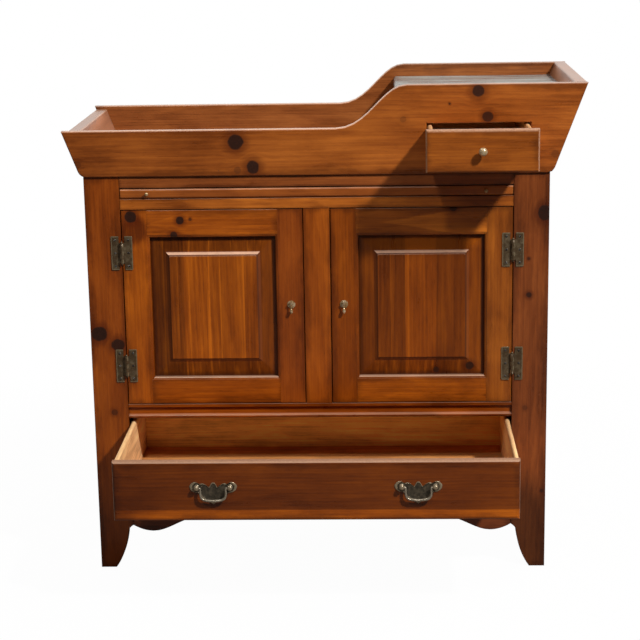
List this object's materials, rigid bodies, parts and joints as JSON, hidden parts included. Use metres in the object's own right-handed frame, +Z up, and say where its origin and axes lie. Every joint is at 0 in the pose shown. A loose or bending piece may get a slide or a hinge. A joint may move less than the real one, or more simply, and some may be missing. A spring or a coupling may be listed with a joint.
{
  "type": "dry sink cabinet",
  "caption": "Wooden dry sink: panelled double-door cupboard on shaped feet, with a pull-out board, a long drawer and a canted top tray that steps up to a deck over a small drawer.",
  "frame": {"origin": "centre of the footprint box on the floor, drawers standing open as in the picture", "axes": "+X to the cabinet's right as seen from the front, +Y to its back, +Z up"},
  "size_m": [1.2102, 0.8454, 1.1693],
  "materials": {
    "stained_pine": "semi-gloss brown stain",
    "dark_pine": "dull dark stain",
    "pale_pine": "unstained, satin",
    "aged_brass": "dark antique patina",
    "bright_brass": "worn polish"
  },
  "bodies": {
    "case": {"left_front_stile": "stained_pine", "right_front_stile": "stained_pine", "centre_stile": "stained_pine", "top_rail": "stained_pine", "board_rail": "stained_pine", "waist_rail": "stained_pine", "apron": "stained_pine", "left_side_panel": "stained_pine", "right_side_panel": "stained_pine", "back_panel": "dark_pine", "case_bottom": "pale_pine", "cupboard_floor": "stained_pine", "board_shelf": "pale_pine", "well_floor": "stained_pine", "tray_front": "stained_pine", "tray_back": "stained_pine", "tray_left_end": "stained_pine", "tray_right_end": "stained_pine", "deck": "stained_pine", "deck_divider": "stained_pine", "left_upper_hinge_case_leaf": "aged_brass", "left_lower_hinge_case_leaf": "aged_brass", "right_upper_hinge_case_leaf": "aged_brass", "right_lower_hinge_case_leaf": "aged_brass"},
    "left_door": {"left_door_hinge_stile": "stained_pine", "left_door_lock_stile": "stained_pine", "left_door_top_rail": "stained_pine", "left_door_bottom_rail": "stained_pine", "left_door_panel": "stained_pine", "left_upper_hinge_door_leaf": "aged_brass", "left_lower_hinge_door_leaf": "aged_brass", "left_drop_rose": "bright_brass"},
    "right_door": {"right_door_hinge_stile": "stained_pine", "right_door_lock_stile": "stained_pine", "right_door_top_rail": "stained_pine", "right_door_bottom_rail": "stained_pine", "right_door_panel": "stained_pine", "right_upper_hinge_door_leaf": "aged_brass", "right_lower_hinge_door_leaf": "aged_brass", "right_drop_rose": "bright_brass"},
    "left_drop": {"left_drop_pendant": "bright_brass"},
    "right_drop": {"right_drop_pendant": "bright_brass"},
    "pull_out_board": {"pull_out_board": "stained_pine", "left_board_knob": "bright_brass", "right_board_knob": "bright_brass"},
    "drawer": {"drawer_front": "stained_pine", "drawer_left_side": "pale_pine", "drawer_right_side": "pale_pine", "drawer_back": "pale_pine", "drawer_bottom": "pale_pine", "left_bail_plate": "aged_brass", "right_bail_plate": "aged_brass"},
    "left_bail": {"left_bail": "aged_brass"},
    "right_bail": {"right_bail": "aged_brass"},
    "small_drawer": {"small_drawer_front": "stained_pine", "small_drawer_left_side": "pale_pine", "small_drawer_right_side": "pale_pine", "small_drawer_back": "pale_pine", "small_drawer_bottom": "pale_pine", "small_drawer_knob": "bright_brass"}
  },
  "joints": [
    {"name": "left_door_hinge", "type": "hinge", "parent": "case", "child": "left_door", "pos_m": [-0.47515, -0.10215, 0.647], "axis": [0, 0, -1], "range_deg": [0, 170]},
    {"name": "right_door_hinge", "type": "hinge", "parent": "case", "child": "right_door", "pos_m": [0.43824, -0.10215, 0.647], "axis": [0, 0, 1], "range_deg": [0, 170]},
    {"name": "left_drop_pivot", "type": "hinge", "parent": "left_door", "child": "left_drop", "pos_m": [-0.08041, -0.10565, 0.662], "axis": [-1, 0, 0], "range_deg": [0, 75]},
    {"name": "right_drop_pivot", "type": "hinge", "parent": "right_door", "child": "right_drop", "pos_m": [0.04349, -0.10565, 0.662], "axis": [-1, 0, 0], "range_deg": [0, 75]},
    {"name": "board_slide", "type": "slide", "parent": "case", "child": "pull_out_board", "axis": [0, -1, 0], "range_m": [0, 0.33]},
    {"name": "drawer_slide", "type": "slide", "parent": "case", "child": "drawer", "axis": [0, -1, 0], "range_m": [-0.312, 0.06]},
    {"name": "left_bail_pivot", "type": "hinge", "parent": "drawer", "child": "left_bail", "pos_m": [-0.24696, -0.41815, 0.313], "axis": [-1, 0, 0], "range_deg": [0, 90]},
    {"name": "right_bail_pivot", "type": "hinge", "parent": "drawer", "child": "right_bail", "pos_m": [0.21005, -0.41815, 0.313], "axis": [-1, 0, 0], "range_deg": [0, 90]},
    {"name": "small_drawer_slide", "type": "slide", "parent": "case", "child": "small_drawer", "axis": [0, -1, 0], "range_m": [-0.149, 0.12]}
  ]
}
